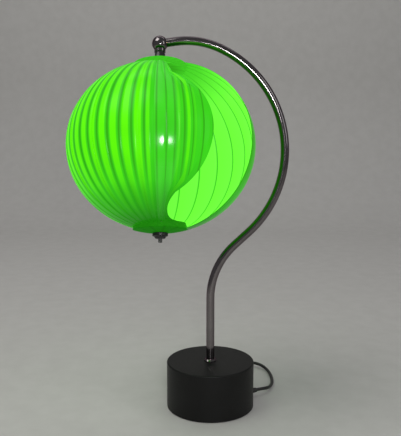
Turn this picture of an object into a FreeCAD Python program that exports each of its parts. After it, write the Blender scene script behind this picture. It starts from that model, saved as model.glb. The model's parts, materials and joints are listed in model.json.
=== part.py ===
"""Table lamp: a weighted black drum carries a chrome hook-shaped tube with a ball joint,
and from the ball hangs a globe shade made of translucent slats that turn on its two poles.
Millimetres, +Z up, +X towards the bow of the tube, -Y towards the viewer.
The origin is the centre of the base's underside."""
import FreeCAD, Part
import math
import os

from FreeCAD import Placement, Rotation, Vector

os.makedirs("parts", exist_ok=True)

# Base drum
BASE_R = 65.0
BASE_H = 70.0
COVER_WALL = 2.5
COVER_TOP = 3.0
COVER_EDGE_R = 2.0
RIM_LIFT = 1.0
PAD_T = 3.0
PAD_R = 59.0
PLATE_T = 2.0
PLATE_GAP = 0.2
BOSS_R = 5.0
BOSS_CIRCLE_R = 50.0
BOSS_COUNT = 3
SCREW_R = 2.0
SCREW_HEAD_R = 3.8
SCREW_HEAD_T = 2.0
SCREW_DEPTH = 14.0
SCREW_HOLE_GAP = 0.2
WEIGHT_R = 58.5
WEIGHT_BORE_R = 21.0
WEIGHT_H = 28.0
WEIGHT_SLOT_W = 14.0

# Chrome tube: a straight stem, a bend out, a straight lean, and a bow of two radii
TUBE_R = 6.0
TUBE_BORE_R = 5.05
STEM_TOP_Z = 166.2
FOOT_BEND_R = 108.6
LEAN = 28.35
BOW_LOW_R = 159.0
BOW_LOW_TURN = 113.2
BOW_HIGH_R = 112.5
BOW_HIGH_TURN = 31.9
TUBE_END_SLOPE = 8.0
TUBE_END_STRAIGHT = 22.0
TUBE_CLEARS_BALL = 10.0

# Fixings of the tube in the base
NIPPLE_R = 5.0
NIPPLE_BORE_R = 3.5
STEM_NIPPLE_TOP = 95.0
STEM_NIPPLE_BOTTOM = 52.0
COLLAR_BASE_R = 9.0
COLLAR_TOP_R = 7.2
COLLAR_H = 3.0
WASHER_R = 20.0
WASHER_T = 2.0
NUT_FLATS = 14.0
NUT_H = 5.5
FIT = 0.05
BLOCK_L = 26.0
BLOCK_W = 17.0
BLOCK_H = 14.0
BLOCK_STEP_W = 11.0
TERMINAL_R = 2.4

# Ball joint
BALL_R = 11.0
BALL_SIDE_FLAT = 9.0
BALL_UNDER_FLAT = 8.0
BALL_BORE_START = 0.5
SPIGOT_START = 1.5
SPIGOT_BORE_R = 3.0
GROOVE_R = 4.2
GROOVE_START = 4.0
GROOVE_W = 3.2
GRUB_R = 1.5
GRUB_TIP_GAP = 0.15
FRICTION_WASHER_T = 0.8

# Neck under the ball, measured down the shade's axis from the ball's centre
RING_R = 7.8
RING_H = 5.0
RING_LIP = 2.0
FLANGE_R = 6.5
FLANGE_T = 2.6
FLANGE_GAP = 0.2
TURN_GAP = 0.3
NECK_TOP_R = 7.0
NECK_LOW_R = 10.0
TOP_WASHER_R = 12.0
TOP_WASHER_T = 1.0

# Shade
SHADE_TILT = 17.0
SHADE_LEAN = 0.6
BALL_TO_CENTRE = 147.0
SHADE_R = 130.3
SHADE_HALF_H = 119.7
SLAT_COUNT = 24
SLAT_T = 0.15
SLAT_PITCH = 0.35
SLAT_FIRST_AZ = 3.0
SLAT_FIRST_STEP = 6.1
SLAT_STEP_GROWTH = 0.53
SLAT_STEP_MOST = 14.1
SLAT_BORE_GAP = 0.2
HEAD_R = 37.0
HEAD_JOIN = 45.0
NOTCH_MID = (41.0, 14.9)
WAIST = (62.4, 10.3)
UPPER_CORNER_MID = (80.5, 11.9)
UPPER_CORNER = (98.0, 17.0)
LOWER_CORNER_MID = (77.3, 12.6)
LOWER_CORNER = (89.6, 21.3)
LEAF_HALF_ANGLE = 32.9
LEAF_REACH = 150.0
LEAF_LATITUDE = 46.0
LEAF_BANDS = 6
HEAD_LATITUDE = 84.0
HEAD_BANDS = 3
POLE_GAP = 0.2

# Frame, lampholder and bulb inside the shade
FRAME_HALF_SPREAD = 100.0
FRAME_T = 1.5
FRAME_W = 12.0
FRAME_PAD_R = 9.0
FRAME_PAD_T = 2.0
HOLDER_R = 19.5
HOLDER_NECK_R = 9.0
HOLDER_NECK_H = 6.0
HOLDER_SHOULDER_H = 5.0
HOLDER_H = 52.0
HOLDER_SOCKET_R = 13.8
HOLDER_SOCKET_DEPTH = 28.0
NIPPLE_INTO_HOLDER = 5.0
BULB_CAP_R = 13.2
BULB_CAP_H = 28.0
BULB_R = 30.0
BULB_NECK_R = 14.0
BULB_GLASS_H = 76.0
BULB_WALL = 1.0

# Lower pole
STUD_R = 2.75
STUD_HEAD_R = 5.0
STUD_HEAD_T = 3.0
STUD_TAIL = 5.5
CAP_R = 10.5
CAP_LOW_R = 7.0
CAP_RIM_H = 4.5
CAP_H = 8.0

# Mains cord
CORD_R = 2.5
CORD_FLOOR_GAP = 0.8
GLAND_ANGLE = 24.0
GLAND_Z = 9.5
GLAND_NECK_R = 4.0
GLAND_BARB_R = 4.4
GLAND_FLANGE_R = 6.5
GLAND_FLANGE_T = 1.5
GLAND_REACH = 14.0
GLAND_TIP_R = 3.3
GLAND_INSIDE = 5.0
COIL_X = -20.0
COIL_Y = 110.0
COIL_OUTER_R = 41.0
COIL_STEP = 5.7
COIL_LAYER = 5.7
COIL_TURNS_DOWN = 3.75
COIL_TURNS_UP = 3.5
LEAD_DROP = 2.9
TAIL_ANGLE = 225.0
TAIL_Z = 14.0
TIE_ANGLE = 45.0
TIE_W = 8.0
TIE_T = 0.6
TIE_GAP = 0.2

# In-line switch
SWITCH_END_X = 0.0
SWITCH_Y = COIL_Y + COIL_OUTER_R + COIL_STEP / 2
SWITCH_L = 64.0
SWITCH_W = 23.0
SWITCH_H = 17.0
SWITCH_SPLIT_Z = 8.0
SWITCH_CORNER = 5.0
SWITCH_NOSE_W = 9.0
ROCKER_L = 18.0
ROCKER_W = 10.0
ROCKER_GAP = 0.4
ROCKER_TILT = 8.0
ROCKER_PIVOT_Z = 12.0
ROCKER_R = 9.4
PIVOT_PIN_R = 1.2

# Plug
PLUG_W = 25.0
PLUG_T = 15.0
PLUG_L = 30.0
PLUG_NOSE = 16.0
BLADE_W = 6.35
BLADE_T = 1.5
BLADE_L = 16.5
BLADE_SPACING = 12.7
BLADE_HOLE_R = 1.5

UP = Vector(0, 0, 1)


def save(shape, node):
    """Write one sub-part's STEP file."""
    shape.exportStep("parts/" + node + ".step")


def rod(radius, start, end):
    """Solid cylinder between two points."""
    axis = end - start
    return Part.makeCylinder(radius, axis.Length, start, axis)


def sleeve(outer, inner, start, end):
    """Hollow cylinder between two points."""
    return rod(outer, start, end).cut(rod(inner, start, end))


def turned(points, about=Vector(0, 0, 0), axis=UP):
    """Solid of revolution from (radius, height) corners."""
    corners = [Vector(r, 0, z) for r, z in points]
    outline = Part.makePolygon(corners + corners[:1])
    return Part.Face(outline).revolve(about, axis, 360)


def prism(corners, z_low, z_high):
    """Upright prism over (x, y) corners."""
    ring = [Vector(x, y, z_low) for x, y in corners]
    return Part.Face(Part.makePolygon(ring + ring[:1])).extrude(Vector(0, 0, z_high - z_low))


def hexagon(across_flats, z_low, z_high):
    """Upright hexagonal prism on the Z axis."""
    radius = across_flats / math.sqrt(3)
    corners = [(radius * math.cos(math.radians(60 * i)), radius * math.sin(math.radians(60 * i)))
               for i in range(6)]
    return prism(corners, z_low, z_high)


def polar(radius, degrees, z=0.0):
    """Point at a radius and an angle round the Z axis."""
    turn = math.radians(degrees)
    return Vector(radius * math.cos(turn), radius * math.sin(turn), z)


def pipe(edges, radius):
    """Round solid swept along a smooth path of edges."""
    path = Part.Wire(edges)
    first = edges[0]
    start = first.valueAt(first.FirstParameter)
    heading = first.tangentAt(first.FirstParameter)
    section = Part.Wire(Part.Circle(start, heading, radius).toShape())
    return path.makePipeShell([section], True, False)


# The tube's path, from the foot of the stem to the ball's centre


def arc_in_plane(start, heading, radius, turn):
    """Arc in the XZ plane: heading in degrees from +X, a positive turn is to the left."""
    side = 1.0 if turn > 0 else -1.0
    to_centre = math.radians(heading + 90 * side)
    centre = start + Vector(math.cos(to_centre), 0, math.sin(to_centre)) * radius

    def at(swept):
        angle = math.radians(heading + swept) - side * math.pi / 2
        return centre + Vector(math.cos(angle), 0, math.sin(angle)) * radius

    return Part.Arc(start, at(turn / 2), at(turn)).toShape(), at(turn), heading + turn


def arm_path(z_start, end_gap):
    """Edges of the tube's centreline, ending short of the ball's centre."""
    start = Vector(0, 0, z_start)
    bend_start = Vector(0, 0, STEM_TOP_Z)
    bow_turn = BOW_LOW_TURN + BOW_HIGH_TURN
    lean_heading = TUBE_END_SLOPE + 180 - bow_turn
    edges = [Part.LineSegment(start, bend_start).toShape()]
    edge, point, heading = arc_in_plane(bend_start, 90.0, FOOT_BEND_R, lean_heading - 90.0)
    edges.append(edge)
    ahead = Vector(math.cos(math.radians(heading)), 0, math.sin(math.radians(heading)))
    edges.append(Part.LineSegment(point, point + ahead * LEAN).toShape())
    edge, point, heading = arc_in_plane(point + ahead * LEAN, heading, BOW_LOW_R, BOW_LOW_TURN)
    edges.append(edge)
    edge, point, heading = arc_in_plane(point, heading, BOW_HIGH_R, BOW_HIGH_TURN)
    edges.append(edge)
    ahead = Vector(math.cos(math.radians(heading)), 0, math.sin(math.radians(heading)))
    ball = point + ahead * TUBE_END_STRAIGHT
    edges.append(Part.LineSegment(point, ball - ahead * end_gap).toShape())
    return edges, ball, ahead * -1


ARM_EDGES, BALL, SWING_AXIS = arm_path(BASE_H, TUBE_CLEARS_BALL)
SHADE_TURN = Rotation(Vector(0, 1, 0), -SHADE_LEAN).multiply(Rotation(Vector(1, 0, 0), -SHADE_TILT))
SHADE_PLACE = Placement(BALL, SHADE_TURN)


def along_swing(distance):
    """Point on the ball's swing axis, measured from the ball's centre."""
    return BALL + SWING_AXIS * distance


def in_shade(shape):
    """Move a shape from the shade's own axes (ball's centre at the origin) to the lamp."""
    placed = shape.copy()
    placed.Placement = SHADE_PLACE.multiply(placed.Placement)
    return placed


# Base


def boss_centres(z):
    return [polar(BOSS_CIRCLE_R, 90 + 360 / BOSS_COUNT * (i + 0.5), z) for i in range(BOSS_COUNT)]


PLATE_TOP = PAD_T + PLATE_T
COVER_UNDER = BASE_H - COVER_TOP
COVER_INNER_R = BASE_R - COVER_WALL
GLAND_OUT = polar(1, GLAND_ANGLE)


def base_cover():
    drum = Part.makeCylinder(BASE_R, BASE_H - RIM_LIFT, Vector(0, 0, RIM_LIFT))
    rim = [e for e in drum.Edges if e.Closed and e.CenterOfMass.z > BASE_H - 1]
    drum = drum.makeFillet(COVER_EDGE_R, rim)
    shell = drum.cut(Part.makeCylinder(COVER_INNER_R, COVER_UNDER - RIM_LIFT, Vector(0, 0, RIM_LIFT)))
    for foot in boss_centres(PLATE_TOP):
        shell = shell.fuse(Part.makeCylinder(BOSS_R, COVER_UNDER - PLATE_TOP, foot))
        shell = shell.cut(Part.makeCylinder(SCREW_R + FIT, SCREW_DEPTH, foot))
    shell = shell.cut(rod(NIPPLE_R + FIT, Vector(0, 0, COVER_UNDER - 1), Vector(0, 0, BASE_H + 1)))
    gland_start = GLAND_OUT * (COVER_INNER_R - 5) + UP * GLAND_Z
    gland_end = GLAND_OUT * (BASE_R + 5) + UP * GLAND_Z
    return shell.cut(rod(GLAND_NECK_R + FIT, gland_start, gland_end)).removeSplitter()


def base_weight():
    ring = sleeve(WEIGHT_R, WEIGHT_BORE_R, Vector(0, 0, PLATE_TOP), Vector(0, 0, PLATE_TOP + WEIGHT_H))
    for foot in boss_centres(PLATE_TOP):
        ring = ring.cut(Part.makeCylinder(BOSS_R + 0.5, WEIGHT_H, foot))
    slot = Part.makeBox(WEIGHT_R, WEIGHT_SLOT_W, WEIGHT_H, Vector(0, -WEIGHT_SLOT_W / 2, PLATE_TOP))
    slot.rotate(Vector(0, 0, 0), UP, GLAND_ANGLE)
    return ring.cut(slot)


def base_plate():
    plate = Part.makeCylinder(COVER_INNER_R - PLATE_GAP, PLATE_T, Vector(0, 0, PAD_T))
    for foot in boss_centres(PAD_T):
        plate = plate.cut(Part.makeCylinder(SCREW_R + SCREW_HOLE_GAP, PLATE_T, foot))
    return plate


def base_pad():
    pad = Part.makeCylinder(PAD_R, PAD_T)
    for foot in boss_centres(0):
        pad = pad.cut(Part.makeCylinder(SCREW_HEAD_R + 1, PAD_T, foot))
    return pad


def plate_screws():
    screws = []
    for foot in boss_centres(PAD_T):
        head = Part.makeCylinder(SCREW_HEAD_R, SCREW_HEAD_T, foot - UP * SCREW_HEAD_T)
        shank = Part.makeCylinder(SCREW_R, PLATE_T + SCREW_DEPTH - 1, foot)
        slot = Part.makeBox(2 * SCREW_HEAD_R, 0.9, 0.8, foot - UP * SCREW_HEAD_T - Vector(SCREW_HEAD_R, 0.45, 0))
        screws.append(head.fuse(shank).cut(slot).removeSplitter())
    return Part.makeCompound(screws)


# Stem, its fixings and the tube


def stem_collar():
    return turned([(TUBE_R + FIT, BASE_H), (COLLAR_BASE_R, BASE_H), (COLLAR_BASE_R, BASE_H + 1),
                   (COLLAR_TOP_R, BASE_H + COLLAR_H), (TUBE_R + FIT, BASE_H + COLLAR_H)])


def stem_nipple():
    return sleeve(NIPPLE_R, NIPPLE_BORE_R, Vector(0, 0, STEM_NIPPLE_BOTTOM), Vector(0, 0, STEM_NIPPLE_TOP))


def stem_washer():
    return sleeve(WASHER_R, NIPPLE_R + FIT, Vector(0, 0, COVER_UNDER - WASHER_T), Vector(0, 0, COVER_UNDER))


def stem_nut():
    top = COVER_UNDER - WASHER_T
    nut = hexagon(NUT_FLATS, top - NUT_H, top)
    return nut.cut(rod(NIPPLE_R + FIT, Vector(0, 0, top - NUT_H), Vector(0, 0, top)))


def arm_tube():
    return pipe(ARM_EDGES, TUBE_R).cut(pipe(ARM_EDGES, TUBE_BORE_R))


def terminal_block():
    foot = Vector(-BLOCK_L / 2, -BLOCK_W / 2, PLATE_TOP)
    block = Part.makeBox(BLOCK_L, BLOCK_W, BLOCK_H * 0.6, foot)
    ridge = Part.makeBox(BLOCK_L, BLOCK_STEP_W, BLOCK_H, Vector(-BLOCK_L / 2, -BLOCK_STEP_W / 2, PLATE_TOP))
    block = block.fuse(ridge)
    for x in (-BLOCK_L / 3, BLOCK_L / 3):
        well = Part.makeCylinder(TERMINAL_R, BLOCK_H / 2, Vector(x, 0, PLATE_TOP + BLOCK_H / 2))
        entry = rod(TERMINAL_R, Vector(x, -BLOCK_W, PLATE_TOP + BLOCK_H / 3),
                    Vector(x, BLOCK_W, PLATE_TOP + BLOCK_H / 3))
        block = block.cut(well).cut(entry)
    return block.removeSplitter()


def arm_lead():
    edges, _, _ = arm_path(PLATE_TOP + BLOCK_H, SPIGOT_START)
    return pipe(edges, CORD_R - 0.1)


# Ball joint at the end of the tube


def pivot_spigot():
    body = rod(NIPPLE_R, along_swing(SPIGOT_START), along_swing(TUBE_END_STRAIGHT - 1))
    groove_low = along_swing(GROOVE_START)
    groove_high = along_swing(GROOVE_START + GROOVE_W)
    body = body.cut(sleeve(NIPPLE_R + 1, GROOVE_R, groove_low, groove_high))
    return body.cut(rod(SPIGOT_BORE_R, along_swing(0), along_swing(TUBE_END_STRAIGHT)))


def friction_washer():
    slack = (TUBE_CLEARS_BALL - BALL_SIDE_FLAT - FRICTION_WASHER_T) / 2
    start = along_swing(BALL_SIDE_FLAT + slack)
    return sleeve(TUBE_R, NIPPLE_R + FIT, start, start + SWING_AXIS * FRICTION_WASHER_T)


GRUB_AT = GROOVE_START + GROOVE_W / 2


def swivel_ball():
    ball = Part.makeSphere(BALL_R, BALL)
    ball = ball.cut(rod(BALL_R, along_swing(BALL_SIDE_FLAT), along_swing(BALL_R + 1)))
    ball = ball.cut(rod(NIPPLE_R + FIT, along_swing(BALL_BORE_START), along_swing(BALL_R + 1)))
    under = in_shade(rod(BALL_R, Vector(0, 0, -BALL_UNDER_FLAT), Vector(0, 0, -BALL_R - 1)))
    wire_way = in_shade(rod(NIPPLE_BORE_R, Vector(0, 0, 0), Vector(0, 0, -BALL_R - 1)))
    grub_hole = rod(GRUB_R + FIT, along_swing(GRUB_AT), along_swing(GRUB_AT) + Vector(0, BALL_R, 0))
    return ball.cut(under).cut(wire_way).cut(grub_hole)


def ball_screw():
    surface = math.sqrt(BALL_R ** 2 - GRUB_AT ** 2)
    middle = along_swing(GRUB_AT)
    body = rod(GRUB_R, middle + Vector(0, GROOVE_R + GRUB_TIP_GAP, 0), middle + Vector(0, surface - 0.4, 0))
    socket = rod(GRUB_R / 2, middle + Vector(0, surface - 1.9, 0), middle + Vector(0, surface, 0))
    return body.cut(socket)


# Neck: everything from here to the slats is drawn in the shade's own axes

RING_TOP = -BALL_UNDER_FLAT
RING_LOW = RING_TOP - RING_H
NECK_TOP = RING_LOW - TURN_GAP
CENTRE_Z = -BALL_TO_CENTRE
POLE_SHARE = math.sin(math.radians(HEAD_LATITUDE))


def slat_radius(number):
    """Outer radius of a slat at the equator: the first slat is the innermost."""
    return SHADE_R - (SLAT_COUNT - number) * SLAT_PITCH


def slat_half_height(number):
    return SHADE_HALF_H - (SLAT_COUNT - number) * SLAT_PITCH


STACK_OUT = POLE_SHARE * slat_half_height(SLAT_COUNT)
STACK_IN = POLE_SHARE * (slat_half_height(1) - SLAT_T)
WASHER_LOW = CENTRE_Z + STACK_OUT + POLE_GAP
FRAME_TOP = CENTRE_Z + STACK_IN - POLE_GAP
FRAME_LOW = CENTRE_Z - STACK_IN + POLE_GAP
NUT_TOP = FRAME_TOP - FRAME_PAD_T
HOLDER_TOP = NUT_TOP - NUT_H
HOLDER_LOW = HOLDER_TOP - HOLDER_H
NIPPLE_LOW = HOLDER_TOP - NIPPLE_INTO_HOLDER


def neck_ring():
    recess_z = RING_LOW + RING_LIP
    ring = turned([(NIPPLE_R + FIT, RING_LOW), (RING_R - 0.6, RING_LOW), (RING_R, RING_LOW + 0.6),
                   (RING_R, RING_TOP - 0.6), (RING_R - 0.6, RING_TOP), (FLANGE_R + FLANGE_GAP, RING_TOP),
                   (FLANGE_R + FLANGE_GAP, recess_z), (NIPPLE_R + FIT, recess_z)])
    return in_shade(ring)


def neck_nipple():
    flange_low = RING_LOW + RING_LIP + FLANGE_GAP
    nipple = turned([(NIPPLE_BORE_R, NIPPLE_LOW), (NIPPLE_R, NIPPLE_LOW), (NIPPLE_R, flange_low),
                     (FLANGE_R, flange_low), (FLANGE_R, flange_low + FLANGE_T),
                     (NIPPLE_BORE_R, flange_low + FLANGE_T)])
    return in_shade(nipple)


def neck_cone():
    low = WASHER_LOW + TOP_WASHER_T
    edge = 1.2
    flare = Part.Arc(Vector(NECK_TOP_R, 0, NECK_TOP - edge),
                     Vector(NECK_TOP_R + 0.35 * (NECK_LOW_R - NECK_TOP_R), 0, (NECK_TOP + low) / 2),
                     Vector(NECK_LOW_R, 0, low)).toShape()
    inner = NIPPLE_R + FIT
    corners = [Vector(NECK_LOW_R, 0, low), Vector(inner, 0, low), Vector(inner, 0, NECK_TOP),
               Vector(NECK_TOP_R, 0, NECK_TOP), Vector(NECK_TOP_R, 0, NECK_TOP - edge)]
    sides = [Part.makeLine(corners[i], corners[i + 1]) for i in range(4)]
    face = Part.Face(Part.Wire([flare] + sides))
    return in_shade(face.revolve(Vector(0, 0, 0), UP, 360))


def top_washer():
    return in_shade(sleeve(TOP_WASHER_R, NIPPLE_R + FIT, Vector(0, 0, WASHER_LOW),
                           Vector(0, 0, WASHER_LOW + TOP_WASHER_T)))


def top_nut():
    nut = hexagon(NUT_FLATS, NUT_TOP - NUT_H, NUT_TOP)
    return in_shade(nut.cut(rod(NIPPLE_R + FIT, Vector(0, 0, NUT_TOP - NUT_H), Vector(0, 0, NUT_TOP))))


def ellipse_slab(spread, half_height, thickness_x):
    """Elliptical disc standing in the shade's YZ plane."""
    curve = Part.Ellipse(Vector(0, 0, 0), half_height, spread)
    if spread > half_height:
        curve = Part.Ellipse(Vector(0, 0, 0), spread, half_height)
    disc = Part.Face(Part.Wire(curve.toShape()))
    slab = disc.extrude(Vector(0, 0, thickness_x))
    slab.translate(Vector(0, 0, -thickness_x / 2))
    spin = Rotation(Vector(0, 0, 1), 0 if spread > half_height else 90)
    stand = Rotation(Vector(0, 1, 0), 90).multiply(Rotation(Vector(0, 0, 1), 90))
    slab.Placement = Placement(Vector(0, 0, CENTRE_Z), stand.multiply(spin)).multiply(slab.Placement)
    return slab


def shade_frame():
    half_height = (FRAME_TOP - FRAME_LOW) / 2
    hoop = ellipse_slab(FRAME_HALF_SPREAD, half_height, FRAME_W)
    hoop = hoop.cut(ellipse_slab(FRAME_HALF_SPREAD - FRAME_T, half_height - FRAME_T, FRAME_W + 1))
    for low in (FRAME_TOP - FRAME_PAD_T, FRAME_LOW):
        hoop = hoop.fuse(Part.makeCylinder(FRAME_PAD_R, FRAME_PAD_T, Vector(0, 0, low)))
    hoop = hoop.cut(rod(NIPPLE_R + FIT, Vector(0, 0, FRAME_TOP - 4), Vector(0, 0, FRAME_TOP + 1)))
    hoop = hoop.cut(rod(STUD_R + FIT, Vector(0, 0, FRAME_LOW - 1), Vector(0, 0, FRAME_LOW + 4)))
    return in_shade(hoop.removeSplitter())


def lampholder():
    shoulder = HOLDER_TOP - HOLDER_NECK_H
    wide = shoulder - HOLDER_SHOULDER_H
    socket_top = HOLDER_LOW + HOLDER_SOCKET_DEPTH
    body = turned([(0, HOLDER_TOP), (HOLDER_NECK_R, HOLDER_TOP), (HOLDER_NECK_R, shoulder),
                   (HOLDER_R, wide), (HOLDER_R, wide - 12), (HOLDER_R - 1, wide - 13),
                   (HOLDER_R - 1, HOLDER_LOW + 1), (HOLDER_R - 2, HOLDER_LOW),
                   (HOLDER_SOCKET_R, HOLDER_LOW), (HOLDER_SOCKET_R, socket_top), (0, socket_top)])
    return in_shade(body.cut(rod(NIPPLE_R + FIT, Vector(0, 0, NIPPLE_LOW), Vector(0, 0, HOLDER_TOP))))


BULB_CAP_TOP = HOLDER_LOW + HOLDER_SOCKET_DEPTH - 0.3
BULB_GLASS_TOP = BULB_CAP_TOP - BULB_CAP_H


def bulb_cap():
    top = BULB_CAP_TOP
    low = BULB_GLASS_TOP
    return in_shade(turned([(0, top), (4.5, top), (4.5, top - 1.5), (BULB_CAP_R - 2.5, top - 4),
                            (BULB_CAP_R, top - 5.5), (BULB_CAP_R, low), (0, low)]))


def bulb_blank(inset):
    """Solid in the shape of the bulb, set in from its outside by a distance."""
    top = BULB_GLASS_TOP
    radius = BULB_R - inset
    neck_r = BULB_NECK_R - inset
    low = top - BULB_GLASS_H + inset
    middle = low + radius
    meet = math.radians(35)
    half = math.radians(-30)
    meet_r = radius * math.cos(meet)
    meet_z = middle + radius * math.sin(meet)
    dome = Part.Arc(Vector(0, 0, low), Vector(radius * math.cos(half), 0, middle + radius * math.sin(half)),
                    Vector(meet_r, 0, meet_z)).toShape()
    waist = Vector(0.55 * neck_r + 0.45 * meet_r - 1.5, 0, meet_z + 0.45 * (top - meet_z))
    neck = Part.Arc(Vector(meet_r, 0, meet_z), waist, Vector(neck_r, 0, top)).toShape()
    lid = Part.makeLine(Vector(neck_r, 0, top), Vector(0, 0, top))
    spine = Part.makeLine(Vector(0, 0, top), Vector(0, 0, low))
    face = Part.Face(Part.Wire([dome, neck, lid, spine]))
    return face.revolve(Vector(0, 0, 0), UP, 360)


def bulb_glass():
    return in_shade(bulb_blank(0).cut(bulb_blank(BULB_WALL)))


CAP_TOP = CENTRE_Z - STACK_OUT - POLE_GAP


def bottom_stud():
    head_low = FRAME_LOW + FRAME_PAD_T
    tail = CAP_TOP - CAP_H - STUD_TAIL
    return in_shade(turned([(0, tail), (STUD_R - 0.6, tail), (STUD_R, tail + 0.6), (STUD_R, head_low),
                            (STUD_HEAD_R, head_low), (STUD_HEAD_R, head_low + STUD_HEAD_T - 0.8),
                            (STUD_HEAD_R - 0.8, head_low + STUD_HEAD_T), (0, head_low + STUD_HEAD_T)]))


def bottom_cap():
    low = CAP_TOP - CAP_H
    rim = CAP_TOP - CAP_RIM_H
    bore = STUD_R + FIT
    return in_shade(turned([(bore, CAP_TOP), (CAP_R - 0.8, CAP_TOP), (CAP_R, CAP_TOP - 0.8), (CAP_R, rim),
                            (CAP_LOW_R + 1, rim - 1), (CAP_LOW_R, low + 0.6), (CAP_LOW_R - 0.6, low), (bore, low)]))


# Slats


def slat_azimuth(number):
    """Where a slat's middle stands at rest, in degrees from the front towards +X."""
    steps = [min(SLAT_FIRST_STEP + SLAT_STEP_GROWTH * i, SLAT_STEP_MOST) for i in range(number - 1)]
    return SLAT_FIRST_AZ - sum(steps)


def meridian(radius, half_height, pole_bore_top, pole_bore_low):
    """Corners of one skin of a slat, from the upper pole to the lower one."""
    head_band = (HEAD_LATITUDE - LEAF_LATITUDE) / HEAD_BANDS
    leaf_band = 2 * LEAF_LATITUDE / LEAF_BANDS
    latitudes = [HEAD_LATITUDE - head_band * i for i in range(HEAD_BANDS)]
    latitudes += [LEAF_LATITUDE - leaf_band * i for i in range(LEAF_BANDS + 1)]
    latitudes += [-a for a in reversed(latitudes[:HEAD_BANDS])]
    skin = [(radius * math.cos(math.radians(a)), CENTRE_Z + half_height * math.sin(math.radians(a)))
            for a in latitudes]
    return [(pole_bore_top, skin[0][1])] + skin + [(pole_bore_low, skin[-1][1])]


def slat_outline(scale, corner_mid, corner, z_low, z_high):
    """Half the height of a slat's outline: a round head on the pole, a waist, and the leaf.
    Seen down the shade's axis its middle points along -Y; sizes are (along, across)."""
    edge = (SHADE_R * math.cos(math.radians(LEAF_HALF_ANGLE)), SHADE_R * math.sin(math.radians(LEAF_HALF_ANGLE)))
    join = (HEAD_R * math.cos(math.radians(HEAD_JOIN)), HEAD_R * math.sin(math.radians(HEAD_JOIN)))
    reach = (edge[0] * LEAF_REACH / SHADE_R, edge[1] * LEAF_REACH / SHADE_R)
    sizes = (join, NOTCH_MID, WAIST, corner_mid, corner, edge, reach)
    right = [Vector(across * scale, -along * scale, z_low) for along, across in sizes]
    left = [Vector(-p.x, p.y, p.z) for p in right]
    back = Vector(0, HEAD_R * scale, z_low)
    edges = [
        Part.Arc(left[0], back, right[0]).toShape(),
        Part.Arc(right[0], right[1], right[2]).toShape(),
        Part.Arc(right[2], right[3], right[4]).toShape(),
        Part.makeLine(right[4], right[5]),
        Part.makeLine(right[5], right[6]),
        Part.makeLine(right[6], left[6]),
        Part.makeLine(left[6], left[5]),
        Part.makeLine(left[5], left[4]),
        Part.Arc(left[4], left[3], left[2]).toShape(),
        Part.Arc(left[2], left[1], left[0]).toShape(),
    ]
    return Part.Face(Part.Wire(edges)).extrude(Vector(0, 0, z_high - z_low))


def slat(number):
    """One slat: a thin banded skin between the poles, cut to its leaf outline."""
    radius = slat_radius(number)
    half_height = slat_half_height(number)
    top_bore = NIPPLE_R + SLAT_BORE_GAP
    low_bore = STUD_R + SLAT_BORE_GAP
    outer = meridian(radius, half_height, top_bore, low_bore)
    inner = meridian(radius - SLAT_T, half_height - SLAT_T, top_bore, low_bore)
    corners = [Vector(0, r, z) for r, z in outer + inner[::-1]]
    skin = Part.Face(Part.makePolygon(corners + corners[:1])).revolve(Vector(0, 0, 0), UP, 360)
    scale = radius / SHADE_R
    far = SHADE_HALF_H + 5
    upper = slat_outline(scale, UPPER_CORNER_MID, UPPER_CORNER, CENTRE_Z, CENTRE_Z + far)
    lower = slat_outline(scale, LOWER_CORNER_MID, LOWER_CORNER, CENTRE_Z - far, CENTRE_Z)
    leaf = skin.common(upper.fuse(lower)).Solids[0]
    leaf.rotate(Vector(0, 0, 0), UP, slat_azimuth(number))
    return in_shade(leaf)


# Mains cord on the floor


def cord_run(points):
    """Edges of straight runs joined by the largest arcs that 0.45 of the shorter run allows."""
    edges = []
    radii = []
    at = points[0]
    for before, corner, after in zip(points, points[1:], points[2:]):
        back = before - corner
        ahead = after - corner
        turn = math.pi - back.getAngle(ahead)
        reach = 0.45 * min(back.Length, ahead.Length)
        radii.append(reach / math.tan(turn / 2))
        enter = corner + back.normalize() * reach
        leave = corner + ahead.normalize() * reach
        bisector = (enter + leave) * 0.5 - corner
        bisector.normalize()
        to_centre = radii[-1] / math.cos(turn / 2)
        middle = corner + bisector * (to_centre - radii[-1])
        edges.append(Part.makeLine(at, enter))
        edges.append(Part.Arc(enter, middle, leave).toShape())
        at = leave
    edges.append(Part.makeLine(at, points[-1]))
    return edges, radii


GLAND_TIP = GLAND_OUT * (BASE_R + GLAND_REACH) + UP * GLAND_Z
SWITCH_AXIS_Z = SWITCH_SPLIT_Z
SWITCH_START_X = SWITCH_END_X + SWITCH_L
CORD_Z = CORD_R + CORD_FLOOR_GAP

# Route of the free stretch, chosen by hand after the loop beside the base
FREE_ROUTE = [
    GLAND_TIP,
    GLAND_TIP + GLAND_OUT * 9.0,
    Vector(88.6, 43.0, 7.9),
    Vector(95.0, 53.0, 5.2),
    Vector(99.8, 66.0, 3.6),
    Vector(102.6, 80.5, 3.3),
    Vector(103.4, 96.0, 3.3),
    Vector(102.6, 111.5, 3.3),
    Vector(100.4, 126.5, 3.5),
    Vector(95.4, 140.0, 4.8),
    Vector(86.2, 149.9, 6.9),
    Vector(SWITCH_START_X + 10.5, SWITCH_Y, SWITCH_AXIS_Z),
    Vector(SWITCH_START_X, SWITCH_Y, SWITCH_AXIS_Z),
]


def mains_cord():
    edges, radii = cord_run(FREE_ROUTE)
    print("free stretch arc radii", [round(r, 1) for r in radii])
    print("free stretch length", round(sum(e.Length for e in edges), 1))
    return pipe(edges, CORD_R)


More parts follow.
